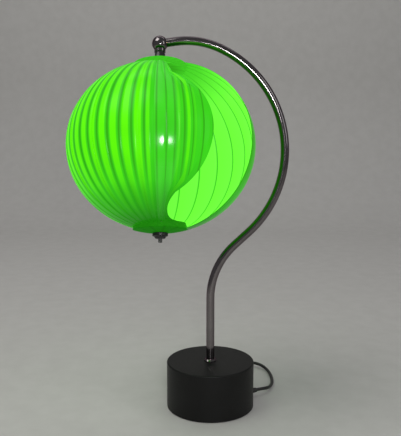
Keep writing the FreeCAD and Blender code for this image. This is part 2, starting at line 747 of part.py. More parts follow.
def biarc(start, start_dir, end, end_dir):
    """Two tangent arcs from one point and direction to another."""
    chord = end - start
    both = start_dir + end_dir
    lean = chord.dot(both)
    turn = 2 * (1 - start_dir.dot(end_dir))
    reach = (math.sqrt(lean * lean + turn * chord.dot(chord)) - lean) / turn
    joint = (start + start_dir * reach + end - end_dir * reach) * 0.5
    first = Part.Arc(start, bulge(start, start_dir, joint), joint).toShape()
    second = Part.Arc(joint, bulge(end, end_dir * -1, joint), end).toShape()
    return [first, second]


def bulge(start, direction, end):
    """Middle point of the arc that leaves start along direction and reaches end."""
    chord = end - start
    half = direction.getAngle(chord)
    side = direction - chord * (direction.dot(chord) / chord.dot(chord))
    side.normalize()
    return (start + end) * 0.5 + side * (chord.Length / 2 * math.tan(half / 2))


COIL_INNER_R = COIL_OUTER_R - COIL_TURNS_DOWN * COIL_STEP
QUARTERS_DOWN = round(COIL_TURNS_DOWN * 4)
QUARTERS_CLIMB = 2
QUARTERS_UP = round(COIL_TURNS_UP * 4)


def coil_station(quarter):
    """Radius, height and their rates per turn after a number of quarter turns."""
    if quarter <= QUARTERS_DOWN:
        return COIL_OUTER_R - COIL_STEP * quarter / 4, CORD_Z, -COIL_STEP, 0.0
    climbed = quarter - QUARTERS_DOWN
    if climbed < QUARTERS_CLIMB:
        return COIL_INNER_R - COIL_STEP / 8, CORD_Z + COIL_LAYER / 2, 0.0, COIL_LAYER * 3
    outward = climbed - QUARTERS_CLIMB
    return COIL_INNER_R + COIL_STEP * outward / 4, CORD_Z + COIL_LAYER, COIL_STEP, 0.0


def coil_point(quarter):
    """Point and unit tangent of the coil's centreline at a quarter-turn station."""
    radius, height, radius_rate, height_rate = coil_station(quarter)
    angle = math.radians(-90 + 90 * quarter)
    out = Vector(math.cos(angle), math.sin(angle), 0)
    along = Vector(-out.y, out.x, 0)
    tangent = along * (2 * math.pi * radius) + out * radius_rate + UP * height_rate
    return Vector(COIL_X, COIL_Y, height) + out * radius, tangent.normalize()


def coil_edges():
    """The cord from the switch, round the coil and off to the plug, as one smooth path."""
    exit_point = Vector(SWITCH_END_X, SWITCH_Y, SWITCH_AXIS_Z)
    west = Vector(-1, 0, 0)
    falling = Vector(COIL_X, SWITCH_Y, CORD_Z + LEAD_DROP)
    path = [(exit_point + west * 2 * CORD_R, west), (falling, Vector(-1, 0, -0.08).normalize())]
    path += [coil_point(q) for q in range(-1, QUARTERS_DOWN + QUARTERS_CLIMB + QUARTERS_UP + 1)]
    rising = polar(1, TAIL_ANGLE + 90, 0.12)
    path.append((Vector(COIL_X, COIL_Y, TAIL_Z) + polar(COIL_OUTER_R, TAIL_ANGLE), rising.normalize()))
    plug_entry = PLUG_PLACE.multVec(Vector(0, 0, 0))
    plug_dir = PLUG_PLACE.Rotation.multVec(Vector(1, 0, 0))
    run_up = plug_entry - plug_dir * 2 * CORD_R
    path.append((run_up, plug_dir))
    edges = [Part.makeLine(exit_point, path[0][0])]
    for (start, start_dir), (end, end_dir) in zip(path, path[1:]):
        edges += biarc(start, start_dir, end, end_dir)
    edges.append(Part.makeLine(run_up, plug_entry))
    print("coil arc radii down to", round(min(e.Curve.Radius for e in edges if hasattr(e.Curve, "Radius")), 1))
    return edges


PLUG_HEADING = 30.0
PLUG_AXIS_Z = CORD_Z + COIL_LAYER + CORD_R + TIE_GAP + PLUG_T / 2
PLUG_ENTRY = Vector(COIL_X + 6.2, COIL_Y - 30.6, PLUG_AXIS_Z)
PLUG_PLACE = Placement(PLUG_ENTRY, Rotation(UP, PLUG_HEADING))


def least_gap(edges):
    """Least distance between the coil's tube and itself, on points along its centreline."""
    spacing = CORD_R / 2
    points = []
    travel = []
    total = 0.0
    for edge in edges:
        count = max(2, int(edge.Length / spacing))
        for point in edge.discretize(count + 1)[:-1] if is_forward(edge, points) else edge.discretize(count + 1)[:0:-1]:
            if points:
                total += point.distanceToPoint(points[-1])
            points.append(point)
            travel.append(total)
    least = 1e9
    for i in range(len(points)):
        for j in range(i + 1, len(points)):
            if travel[j] - travel[i] > 6 * CORD_R:
                least = min(least, points[i].distanceToPoint(points[j]))
    return least - 2 * CORD_R


def is_forward(edge, points):
    """Whether an edge's first point continues the list of points."""
    if not points:
        return True
    ends = edge.discretize(2)
    return points[-1].distanceToPoint(ends[0]) <= points[-1].distanceToPoint(ends[1])


def cord_coil():
    edges = coil_edges()
    solid = pipe(edges, CORD_R)
    length = sum(e.Length for e in edges)
    print("coil length", round(length, 1), "least gap", round(least_gap(edges), 2))
    print("coil volume over section times length", round(solid.Volume / (math.pi * CORD_R ** 2 * length), 4))
    return solid


def coil_tie():
    """Band round the bundle of turns at one side of the coil."""
    below = (TIE_ANGLE + 90) / 90
    above = below
    while above + 4 <= QUARTERS_DOWN + QUARTERS_CLIMB + QUARTERS_UP:
        above += 4
    lower_r = COIL_OUTER_R - COIL_STEP * below / 4
    upper_r = COIL_INNER_R + COIL_STEP * (above - QUARTERS_DOWN - QUARTERS_CLIMB) / 4
    outer = max(lower_r, upper_r) + CORD_R + 2 * TIE_GAP
    inner = COIL_INNER_R - CORD_R - TIE_GAP
    low = CORD_Z - CORD_R - TIE_GAP
    high = CORD_Z + COIL_LAYER + CORD_R + TIE_GAP
    band = Part.makeBox(outer - inner + 2 * TIE_T, TIE_W, high - low + 2 * TIE_T,
                        Vector(inner - TIE_T, -TIE_W / 2, low - TIE_T))
    hole = Part.makeBox(outer - inner, TIE_W, high - low, Vector(inner, -TIE_W / 2, low))
    edges = [e for e in band.Edges if abs(e.tangentAt(e.FirstParameter).y) > 0.9]
    band = band.makeFillet(2.0, edges).cut(hole)
    band.rotate(Vector(0, 0, 0), UP, TIE_ANGLE)
    band.translate(Vector(COIL_X, COIL_Y, 0))
    return band


def cord_grip():
    """Moulded strain relief: a neck through the cover's wall, flanges and a tapered tail."""
    outside = GLAND_REACH
    corners = [(0, -COVER_WALL - GLAND_INSIDE), (GLAND_NECK_R - 0.5, -COVER_WALL - GLAND_INSIDE),
               (GLAND_BARB_R, -COVER_WALL - 0.7), (GLAND_NECK_R, -COVER_WALL - 0.7),
               (GLAND_NECK_R, 0.6), (GLAND_FLANGE_R, 0.6), (GLAND_FLANGE_R, 0.6 + GLAND_FLANGE_T),
               (GLAND_NECK_R + 0.8, 1.2 + GLAND_FLANGE_T), (GLAND_TIP_R, outside), (0, outside)]
    body = turned(corners)
    lean = Rotation(UP, GLAND_OUT)
    body.Placement = Placement(GLAND_OUT * BASE_R + UP * GLAND_Z, lean)
    return body


# In-line switch: two shell halves and a rocker


def switch_outline():
    """Plan of the switch, lying along X: a long body with narrower ends."""
    half_l = SWITCH_L / 2
    half_w = SWITCH_W / 2
    nose = SWITCH_NOSE_W / 2
    shoulder = half_l - 12
    right = [(half_l, -nose), (half_l, nose), (shoulder, half_w)]
    left = [(-x, -y) for x, y in right]
    return right + left


def switch_blank(low, high):
    body = prism(switch_outline(), low, high)
    body.translate(Vector(SWITCH_END_X + SWITCH_L / 2, SWITCH_Y, 0))
    return body


def switch_middle():
    return Vector(SWITCH_END_X + SWITCH_L / 2, SWITCH_Y, 0)


def rocker_well():
    size_x = ROCKER_L + 2 * ROCKER_GAP
    size_y = ROCKER_W + 2 * ROCKER_GAP
    corner = switch_middle() + Vector(-size_x / 2, -size_y / 2, SWITCH_SPLIT_Z)
    return Part.makeBox(size_x, size_y, SWITCH_H, corner)


def switch_base():
    return switch_blank(0.3, SWITCH_SPLIT_Z - 0.1)


def switch_cover():
    body = switch_blank(SWITCH_SPLIT_Z, SWITCH_H)
    rim = [e for e in body.Edges if e.CenterOfMass.z > SWITCH_H - 0.1]
    body = body.makeFillet(1.5, rim).cut(rocker_well())
    pin = rod(PIVOT_PIN_R, switch_middle() + Vector(0, -ROCKER_W, ROCKER_PIVOT_Z),
              switch_middle() + Vector(0, ROCKER_W, ROCKER_PIVOT_Z))
    well = rocker_well()
    return body.fuse(pin.common(well)).removeSplitter()


def switch_rocker():
    """Rocker with a dished top, turned on the pin by half its throw."""
    half = ROCKER_L / 2 - 0.4
    top = SWITCH_H - ROCKER_PIVOT_Z + 2.2
    dip = SWITCH_H - ROCKER_PIVOT_Z + 0.9
    low = -2.6
    side = [Vector(-half, 0, 0.8), Vector(-half, 0, top)]
    crest = Part.Arc(Vector(-half, 0, top), Vector(0, 0, dip), Vector(half, 0, top)).toShape()
    belly = Part.Arc(Vector(half, 0, 0.8), Vector(0, 0, low), Vector(-half, 0, 0.8)).toShape()
    outline = Part.Wire([Part.makeLine(side[0], side[1]), crest,
                         Part.makeLine(Vector(half, 0, top), Vector(half, 0, 0.8)), belly])
    body = Part.Face(outline).extrude(Vector(0, ROCKER_W, 0))
    body.translate(Vector(0, -ROCKER_W / 2, 0))
    body = body.cut(rod(PIVOT_PIN_R + FIT, Vector(0, -ROCKER_W, 0), Vector(0, ROCKER_W, 0)))
    body.rotate(Vector(0, 0, 0), Vector(0, 1, 0), ROCKER_TILT)
    body.translate(switch_middle() + Vector(0, 0, ROCKER_PIVOT_Z))
    return body


# Plug, drawn with its cord entry at the origin and its blades along +X


def plug_body():
    nose = prism([(0, -4.5), (PLUG_NOSE, -PLUG_W / 2), (PLUG_NOSE, PLUG_W / 2), (0, 4.5)],
                 -PLUG_T / 2, PLUG_T / 2)
    block = Part.makeBox(PLUG_L - PLUG_NOSE, PLUG_W, PLUG_T, Vector(PLUG_NOSE, -PLUG_W / 2, -PLUG_T / 2))
    body = nose.fuse(block).removeSplitter()
    long_edges = [e for e in body.Edges if abs(e.CenterOfMass.z) > PLUG_T / 2 - 0.1
                  and abs(e.CenterOfMass.x - PLUG_L) > 1]
    body = body.makeFillet(2.0, long_edges)
    for y in (-BLADE_SPACING / 2, BLADE_SPACING / 2):
        slot = Part.makeBox(BLADE_L, BLADE_T + 2 * FIT, BLADE_W + 2 * FIT,
                            Vector(PLUG_L - 6, y - BLADE_T / 2 - FIT, -BLADE_W / 2 - FIT))
        body = body.cut(slot)
    body.Placement = PLUG_PLACE
    return body


def plug_blades():
    blades = []
    for y in (-BLADE_SPACING / 2, BLADE_SPACING / 2):
        start = PLUG_L - 6
        end = PLUG_L + BLADE_L
        half = BLADE_W / 2
        outline = [Vector(start, y, -half), Vector(end - 2, y, -half), Vector(end, y, -half + 2),
                   Vector(end, y, half - 2), Vector(end - 2, y, half), Vector(start, y, half)]
        blade = Part.Face(Part.makePolygon(outline + outline[:1])).extrude(Vector(0, BLADE_T, 0))
        blade.translate(Vector(0, -BLADE_T / 2, 0))
        hole = rod(BLADE_HOLE_R, Vector(end - 4, y - 2, 0), Vector(end - 4, y + 2, 0))
        blades.append(blade.cut(hole))
    pair = Part.makeCompound(blades)
    pair.Placement = PLUG_PLACE
    return pair


PIECES = {
    "base_cover": base_cover,
    "base_weight": base_weight,
    "base_plate": base_plate,
    "base_pad": base_pad,
    "plate_screws": plate_screws,
    "stem_collar": stem_collar,
    "stem_nipple": stem_nipple,
    "stem_washer": stem_washer,
    "stem_nut": stem_nut,
    "arm_tube": arm_tube,
    "terminal_block": terminal_block,
    "arm_lead": arm_lead,
    "pivot_spigot": pivot_spigot,
    "friction_washer": friction_washer,
    "swivel_ball": swivel_ball,
    "ball_screw": ball_screw,
    "neck_ring": neck_ring,
    "neck_nipple": neck_nipple,
    "neck_cone": neck_cone,
    "top_washer": top_washer,
    "top_nut": top_nut,
    "shade_frame": shade_frame,
    "lampholder": lampholder,
    "bulb_cap": bulb_cap,
    "bulb_glass": bulb_glass,
    "bottom_stud": bottom_stud,
    "bottom_cap": bottom_cap,
    "cord_grip": cord_grip,
    "mains_cord": mains_cord,
    "switch_base": switch_base,
    "switch_cover": switch_cover,
    "switch_rocker": switch_rocker,
    "cord_coil": cord_coil,
    "coil_tie": coil_tie,
    "plug_body": plug_body,
    "plug_blades": plug_blades,
}

for node, make in PIECES.items():
    save(make(), node)
for slat_number in range(1, SLAT_COUNT + 1):
    save(slat(slat_number), "slat_%02d" % slat_number)
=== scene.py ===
"""Looks of the globe-shade table lamp: materials, smooth slats, cords, studio and camera.
Metres, in the CAD's frame: origin under the middle of the base, +Z up, -Y to the viewer."""
import json
import math

import bpy
from mathutils import Matrix, Vector


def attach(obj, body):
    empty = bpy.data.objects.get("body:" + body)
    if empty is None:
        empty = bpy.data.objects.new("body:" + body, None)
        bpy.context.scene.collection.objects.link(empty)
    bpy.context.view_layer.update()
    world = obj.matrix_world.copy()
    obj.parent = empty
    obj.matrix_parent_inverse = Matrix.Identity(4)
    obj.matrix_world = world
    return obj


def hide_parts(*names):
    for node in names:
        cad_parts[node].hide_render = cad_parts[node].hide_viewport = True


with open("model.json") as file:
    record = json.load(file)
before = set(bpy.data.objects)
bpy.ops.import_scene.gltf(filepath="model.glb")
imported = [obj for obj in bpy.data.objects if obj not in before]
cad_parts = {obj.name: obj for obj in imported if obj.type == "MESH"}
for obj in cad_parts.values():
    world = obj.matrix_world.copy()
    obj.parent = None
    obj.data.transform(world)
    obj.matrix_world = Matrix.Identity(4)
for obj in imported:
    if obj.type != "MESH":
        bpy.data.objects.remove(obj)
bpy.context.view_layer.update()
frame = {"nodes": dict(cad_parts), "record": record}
nodes = frame["nodes"]

MM = 0.001

# Shade, as in the part's source: sizes in metres, azimuths and latitudes in degrees
BALL = Vector((-71.397, 0.0, 532.383)) * MM
SHADE_TILT = math.radians(17)
SHADE_LEAN = math.radians(0.6)
BALL_TO_CENTRE = 147.0 * MM
SHADE_R = 130.3 * MM
SHADE_HALF_H = 119.7 * MM
SLAT_COUNT = 24
SLAT_PITCH = 0.35 * MM
SLAT_T = 0.15 * MM
FIRST_AZ = 3.0
FIRST_STEP = 6.1
STEP_GROWTH = 0.53
STEP_MOST = 14.1
HEAD_R = 37.0 * MM
HEAD_LATITUDE = 84.0
TOP_BORE_R = 5.2 * MM
LOW_BORE_R = 2.95 * MM
NOTCH_MID = Vector((41.0, 14.9)) * MM
WAIST = Vector((62.4, 10.3)) * MM
UPPER_CORNER_MID = Vector((80.5, 11.9)) * MM
UPPER_CORNER = Vector((98.0, 17.0)) * MM
LOWER_CORNER_MID = Vector((77.3, 12.6)) * MM
LOWER_CORNER = Vector((89.6, 21.3)) * MM
EDGE_DEG = 32.9
LEAF_HALF_ANGLE = math.radians(EDGE_DEG)
HEAD_EDGE_LATITUDE = math.degrees(math.acos(HEAD_R / SHADE_R))
# How far the right edge of the first slats follows the leaf's outline. The others' edges run pole to pole.
LEAF_SHARES = {1: 1.0, 2: 0.8, 3: 0.55, 4: 0.3, 5: 0.12}

# Slats' UVs: degrees from an edge over SPAN_DEG, and height from 0 at the lower pole to 1 at the upper
SPAN_DEG = 60.0
HEAD_EDGE_V = 0.5 + HEAD_EDGE_LATITUDE / 180
# How far the inside has gone over to NEAR_NECK, the painted shade of the lampholder near the neck, where it
# meets a head
NECK_DIMMING = 0.95
# The slats that mirror the two small lights in front
GLOSSY_SLATS = (4, 5)


# Materials

# Length of one wave of the wave texture at a scale of 1
WAVE_LENGTH = 0.314


def new_material(name):
    """A node material with its Principled shader, tree and links ready to use."""
    material = bpy.data.materials.new(name)
    material.use_nodes = True
    tree = material.node_tree
    shader = tree.nodes["Principled BSDF"]
    return material, tree, shader


def noise(tree, scale, stretch=None):
    """Noise in object space, stretched along an axis if asked."""
    place = tree.nodes.new("ShaderNodeTexCoord")
    texture = tree.nodes.new("ShaderNodeTexNoise")
    texture.inputs["Scale"].default_value = scale
    texture.inputs["Detail"].default_value = 4.0
    texture.inputs["Roughness"].default_value = 0.55
    source = place.outputs["Object"]
    if stretch:
        mapping = tree.nodes.new("ShaderNodeMapping")
        mapping.inputs["Scale"].default_value = stretch
        tree.links.new(source, mapping.inputs["Vector"])
        source = mapping.outputs["Vector"]
    tree.links.new(source, texture.inputs["Vector"])
    return texture.outputs["Fac"]


def ramp(tree, value, stops, interpolation="LINEAR"):
    """Colour ramp over a value; stops are (position, colour)."""
    node = tree.nodes.new("ShaderNodeValToRGB")
    node.color_ramp.interpolation = interpolation
    elements = node.color_ramp.elements
    while len(elements) > 1:
        elements.remove(elements[-1])
    elements[0].position = stops[0][0]
    elements[0].color = (*stops[0][1], 1)
    for position, colour in stops[1:]:
        element = elements.new(position)
        element.color = (*colour, 1)
    tree.links.new(value, node.inputs["Fac"])
    return node.outputs["Color"]


def grey(level):
    return (level, level, level)


def add_bump(tree, shader, height, strength, distance):
    """Relief in the shader's normal, from a height and a distance in metres."""
    bump = tree.nodes.new("ShaderNodeBump")
    bump.inputs["Strength"].default_value = strength
    bump.inputs["Distance"].default_value = distance
    tree.links.new(height, bump.inputs["Height"])
    tree.links.new(bump.outputs["Normal"], shader.inputs["Normal"])


def surface(name, dark, light, rough, metallic=0.0, grain=300.0, bump=0.0, rough_spread=0.08, stretch=None,
            specular=0.5, tint=(1, 1, 1)):
    """Finish whose colour and roughness wander a little, with a fine bump."""
    material, tree, shader = new_material(name)
    shader.inputs["Specular Tint"].default_value = (*tint, 1)
    shader.inputs["Metallic"].default_value = metallic
    shader.inputs["Specular IOR Level"].default_value = specular
    broad = noise(tree, 28.0, stretch=stretch)
    tree.links.new(ramp(tree, broad, [(0.35, dark), (0.65, light)]), shader.inputs["Base Color"])
    fine = noise(tree, grain, stretch=stretch)
    low, high = grey(rough - rough_spread), grey(rough + rough_spread)
    tree.links.new(ramp(tree, fine, [(0.3, low), (0.7, high)]), shader.inputs["Roughness"])
    if bump:
        add_bump(tree, shader, fine, bump, 0.2 * MM)
    return material


def threaded_metal(name, level, pitch):
    """Dark metal with thread crests across the shade's axis; the thread roots are painted darker, as painted
    shade.
    """
    material, tree, shader = new_material(name)
    shader.inputs["Metallic"].default_value = 0.9
    shader.inputs["Roughness"].default_value = 0.42
    place = tree.nodes.new("ShaderNodeTexCoord")
    turn = tree.nodes.new("ShaderNodeMapping")
    turn.inputs["Rotation"].default_value = (SHADE_TILT, 0, 0)
    wave = tree.nodes.new("ShaderNodeTexWave")
    wave.bands_direction = "Z"
    wave.inputs["Scale"].default_value = WAVE_LENGTH / pitch
    tree.links.new(place.outputs["Object"], turn.inputs["Vector"])
    tree.links.new(turn.outputs["Vector"], wave.inputs["Vector"])
    # painted shade: the base colour is darker in the thread roots than on the crests
    shade = ramp(tree, wave.outputs["Fac"], [(0.1, grey(level * 0.4)), (0.8, grey(level))])
    tree.links.new(shade, shader.inputs["Base Color"])
    add_bump(tree, shader, wave.outputs["Fac"], 0.8, 0.4 * MM)
    return material


finishes = {
    "drum_enamel": surface("drum_enamel_black", grey(0.0028), grey(0.0046), 0.50, grain=900.0, bump=0.16,
                           specular=0.28),
    "ballast": surface("ballast_iron", grey(0.03), grey(0.06), 0.72, metallic=0.6, bump=0.5),
    "zinc_steel": surface("zinc_steel", grey(0.38), grey(0.50), 0.34, metallic=1.0),
    "foot_pad": surface("foot_pad_rubber", grey(0.012), grey(0.02), 0.85, bump=0.4),
    "bright_chrome": surface("bright_chrome", (0.172, 0.156, 0.160), (0.212, 0.194, 0.198), 0.12,
                             metallic=1.0, grain=60.0, rough_spread=0.03, tint=(0.48, 0.34, 0.42)),
    "brass": surface("turned_brass", (0.48, 0.33, 0.11), (0.60, 0.44, 0.18), 0.30, metallic=1.0,
                     stretch=(1, 1, 12)),
    "black_plastic": surface("black_plastic", grey(0.010), grey(0.016), 0.38, grain=700.0, bump=0.12),
    "black_metal": surface("black_satin_metal", grey(0.012), grey(0.022), 0.32, grain=500.0, bump=0.08),
    "white_plastic": surface("white_plastic", (0.66, 0.64, 0.58), (0.74, 0.72, 0.67), 0.42, bump=0.05),
    "pale_metal": surface("pale_enamel_wire", (0.60, 0.66, 0.52), (0.70, 0.76, 0.62), 0.4, bump=0.05),
    "cord_pvc": surface("cord_pvc_black", grey(0.010), grey(0.017), 0.44, grain=1200.0, bump=0.1),
}


def glowing_bulb():
    """Frosted glass lit from inside."""
    material, tree, shader = new_material("frosted_bulb_lit")
    shader.inputs["Base Color"].default_value = (0.9, 0.92, 0.8, 1)
    shader.inputs["Roughness"].default_value = 0.55
    grain = noise(tree, 35.0)
    glow = ramp(tree, grain, [(0.3, (0.95, 0.90, 0.62)), (0.7, (1.0, 0.97, 0.76))])
    tree.links.new(glow, shader.inputs["Emission Color"])
    shader.inputs["Emission Strength"].default_value = 2.6
    return material


finishes["bulb_glass"] = glowing_bulb()

node_slots = {row["node"]: row["material_slot"] for row in frame["record"]["subparts"]}
for node, piece in nodes.items():
    slot = node_slots[node]
    if slot in finishes:
        piece.data.materials.clear()
        piece.data.materials.append(finishes[slot])
nodes["bottom_stud"].data.materials[0] = threaded_metal("stud_thread", 0.30, 1.0 * MM)


# Slats: the bulb's light and shade painted on as emission


def mix(a, b, share):
    return tuple(x + (y - x) * share for x, y in zip(a, b))


def uv_value(tree, layer, axis):
    """One coordinate of a UV layer: 0 across, 1 along."""
    source = tree.nodes.new("ShaderNodeUVMap")
    source.uv_map = layer
    parts = tree.nodes.new("ShaderNodeSeparateXYZ")
    tree.links.new(source.outputs["UV"], parts.inputs["Vector"])
    return parts.outputs[axis]


def blend_colours(tree, factor, first, second):
    node = tree.nodes.new("ShaderNodeMix")
    node.data_type = "RGBA"
    tree.links.new(factor, node.inputs["Factor"])
    for value, socket in ((first, node.inputs[6]), (second, node.inputs[7])):
        if isinstance(value, tuple):
            socket.default_value = (*value, 1)
        else:
            tree.links.new(value, socket)
    return node.outputs[2]


def multiplied(tree, first, second):
    node = tree.nodes.new("ShaderNodeMix")
    node.data_type = "RGBA"
    node.blend_type = "MULTIPLY"
    node.inputs["Factor"].default_value = 1.0
    tree.links.new(first, node.inputs[6])
    tree.links.new(second, node.inputs[7])
    return node.outputs[2]


# Painted light on the outside of a slat, as emission: a painted shadow line at each edge, dull bands where
# the light comes through two layers and bright ones where it comes through one, painted shade low down and at
# the poles, and a painted glow on the cut edges
LINE = (0.030, 0.36, 0.006)
MID = (0.042, 0.64, 0.009)
BRIGHT = (0.125, 0.98, 0.0)
DEEP = (0.020, 0.41, 0.004)
SHADOW = (0.006, 0.155, 0.002)
EDGE_DARK = (0.010, 0.15, 0.003)
EDGE_LIGHT = (0.020, 0.25, 0.006)
# Painted light on the inside of a slat and on the heads: lit insides with a painted shadow line, heads
# painted dark where many layers deep, and the painted shade of the lampholder near the neck
INSIDE = (0.165, 0.98, 0.055)
INSIDE_LINE = (0.045, 0.52, 0.016)
HEAD_DARK = (0.006, 0.135, 0.002)
HEAD_INSIDE = (0.034, 0.36, 0.010)
NEAR_NECK = (0.045, 0.50, 0.015)

# Azimuths of the painted shade lines where the layers' edges show against the light at rest: close ones near
# the opening, then even ones
LINE_AZIMUTHS = [36.0, 29.5, 23.2, 17.6, 12.0, 7.3, 1.8, -5.0] + [-12.3 - 7.35 * i for i in range(40)]
# Where the painted bright band of light after a line starts and ends, as shares of the strip, and how bright
# it is
BANDS = {0: (0.3, 0.8, 0.0), 1: (0.70, 0.98, 0.30), 2: (0.34, 0.66, 0.75), 3: (0.40, 0.66, 0.35),
         4: (0.4, 0.8, 0.0), 5: (0.4, 0.8, 0.0), 6: (0.56, 0.86, 0.75)}
WIDE_BAND = (0.22, 0.76, 1.0)
# Shares of a strip: where its line ends, where the dull band is plain, how fast the bright band comes
# and goes, and the latest that it has gone
LINE_END, DULL_START, FADE_IN, FADE_OUT, FADED = 0.07, 0.15, 0.10, 0.12, 0.94
# Degrees painted before a slat's edge, and past the part that the next slat leaves in view
BEFORE_EDGE, PAST_STRIP = 0.6, 3.0


def strip_width(number):
    """Degrees between a slat's edge and the next one's."""
    return min(FIRST_STEP + STEP_GROWTH * (min(number, SLAT_COUNT - 1) - 1), STEP_MOST)


def slat_azimuth(number):
    return FIRST_AZ - sum(strip_width(n) for n in range(1, number))


def strip_stops(number):
    """Painted light across a slat from its edge: at each line a dark painted shade stop, then dull and bright
    bands of light.
    """
    edge = slat_azimuth(number) + EDGE_DEG
    seen = strip_width(number) + PAST_STRIP
    stops = []
    for index, (line, following) in enumerate(zip(LINE_AZIMUTHS, LINE_AZIMUTHS[1:])):
        start, end, glow = BANDS.get(index, WIDE_BAND)
        width = line - following
        peak = mix(MID, BRIGHT, glow)
        shares = [(0.0, LINE), (LINE_END, LINE), (DULL_START, MID), (start, MID),
                  (start + FADE_IN, peak), (end, peak), (min(end + FADE_OUT, FADED), MID)]
        for share, colour in shares:
            position = edge - line + share * width
            if -BEFORE_EDGE < position < seen:
                stops.append((max(0.0, position) / SPAN_DEG, colour))
    return stops


def sheet_shader(name, rough=0.35, specular=0.10):
    """Dark green plastic whose glow is painted light, as emission: its look stands for the light inside the
    shade.
    """
    material, tree, shader = new_material(name)
    shader.inputs["Base Color"].default_value = (0.008, 0.085, 0.003, 1)
    shader.inputs["Roughness"].default_value = rough
    shader.inputs["Specular IOR Level"].default_value = specular
    shader.inputs["Emission Strength"].default_value = 1.0
    return material, tree, shader


def outer_sheet(number):
    """Outside of a slat, its light painted as emission: painted shade lines at the layers' edges, dull bands,
    bands where the light comes through, and painted shadow at the poles.
    """
    glossy = number in GLOSSY_SLATS
    material, tree, shader = sheet_shader("sheet_outside_%02d" % number, 0.30, 0.5 if glossy else 0.12)
    width = strip_width(number) / SPAN_DEG
    across = uv_value(tree, "from_edge", 0)
    height = uv_value(tree, "from_edge", 1)
    if glossy:
        polish = [(0.30, grey(0.45)), (0.38, grey(0.15)), (0.50, grey(0.15)), (0.60, grey(0.50))]
        tree.links.new(ramp(tree, height, polish), shader.inputs["Roughness"])
    band = ramp(tree, across, strip_stops(number))
    plain = ramp(tree, across, [(0.0, LINE), (0.06 * width, DEEP), (0.6 * width, mix(DEEP, MID, 0.7)),
                                (width, DEEP)])
    # painted light: the bands show at middle heights, where the bulb shines, and fade to the plain look
    # towards the poles
    lit = ramp(tree, height, [(0.06, grey(0)), (0.22, grey(0.2)), (0.42, grey(0.9)), (0.55, grey(1)),
                              (0.72, grey(0.9)), (0.86, grey(0.35)), (0.93, grey(0))], "EASE")
    body = blend_colours(tree, lit, plain, band)
    # painted shadow: SHADOW low down and at the upper pole
    pole = ramp(tree, height, [(0.10, grey(1)), (0.30, grey(0)), (0.90, grey(0)), (0.93, grey(1))])
    cloud = noise(tree, 22.0)
    drift = ramp(tree, cloud, [(0.3, grey(0.90)), (0.7, grey(1.0))])
    final = blend_colours(tree, pole, body, SHADOW)
    tree.links.new(multiplied(tree, final, drift), shader.inputs["Emission Color"])
    return material


def inner_sheet():
    """Inside of a slat, its light painted as emission: fully lit, with a thin painted shadow line along the
    edge that shows from inside, and painted shade near the neck.
    """
    material, tree, shader = sheet_shader("sheet_inside")
    behind = uv_value(tree, "from_far_edge", 0)
    height = uv_value(tree, "from_far_edge", 1)
    strip = ramp(tree, behind, [(0.0, INSIDE_LINE), (0.010, INSIDE_LINE), (0.022, INSIDE),
                                (0.28, mix(INSIDE, BRIGHT, 0.25))])
    # painted shade of the lampholder: darker towards NEAR_NECK at the upper head
    pole = ramp(tree, height, [(0.72, grey(0)), (0.86, grey(0.8)), (HEAD_EDGE_V, grey(NECK_DIMMING))])
    final = blend_colours(tree, pole, strip, NEAR_NECK)
    tree.links.new(final, shader.inputs["Emission Color"])
    return material


def sheet_edge():
    """Cut edge of a slat, glowing with painted light as emission."""
    material, tree, shader = sheet_shader("sheet_edge")
    grain = noise(tree, 300.0)
    tree.links.new(ramp(tree, grain, [(0.3, EDGE_DARK), (0.7, EDGE_LIGHT)]), shader.inputs["Emission Color"])
    return material


def head_sheet(name, middle, rim):
    """One side of the slats' round heads on their pole, with painted light as emission: dim where many layers
    deep, with faint painted shade rays.
    """
    material, tree, shader = sheet_shader(name, 0.6, 0.02)
    around = uv_value(tree, "from_edge", 0)
    outward = uv_value(tree, "from_edge", 1)
    rays = tree.nodes.new("ShaderNodeMath")
    rays.operation = "PINGPONG"
    rays.inputs[1].default_value = 1 / SLAT_COUNT
    tree.links.new(around, rays.inputs[0])
    # painted shade: faint dark rays where the heads' layers meet
    lines = ramp(tree, rays.outputs[0], [(0.0, grey(0.72)), (0.012, grey(1.0)), (1.0, grey(1.0))])
    depth = ramp(tree, outward, [(0.0, middle), (0.55, middle), (1.0, rim)])
    tree.links.new(multiplied(tree, depth, lines), shader.inputs["Emission Color"])
    return material


# Smooth sheets in place of the banded slats of the CAD


def circle_through(a, b, c):
    """Centre and radius of the circle through three points of the plan."""
    aa, bb, cc = a.length_squared, b.length_squared, c.length_squared
    scale = 2 * (a.x * (b.y - c.y) + b.x * (c.y - a.y) + c.x * (a.y - b.y))
    x = (aa * (b.y - c.y) + bb * (c.y - a.y) + cc * (a.y - b.y)) / scale
    y = (aa * (c.x - b.x) + bb * (a.x - c.x) + cc * (b.x - a.x)) / scale
    centre = Vector((x, y))
    return centre, (a - centre).length


def on_arc(ring, start, middle, end):
    """Half angle where the arc through three points crosses a distance from the axis."""
    centre, radius = circle_through(start, middle, end)
    along = (ring * ring - radius * radius + centre.length_squared) / (2 * centre.length)
    across = math.sqrt(max(0.0, ring * ring - along * along))
    unit = centre.normalized()
    side = Vector((-unit.y, unit.x))
    crossings = (unit * along + side * across, unit * along - side * across)
    best = min(crossings, key=lambda point: (point - middle).length)
    return math.atan2(best.y, best.x)


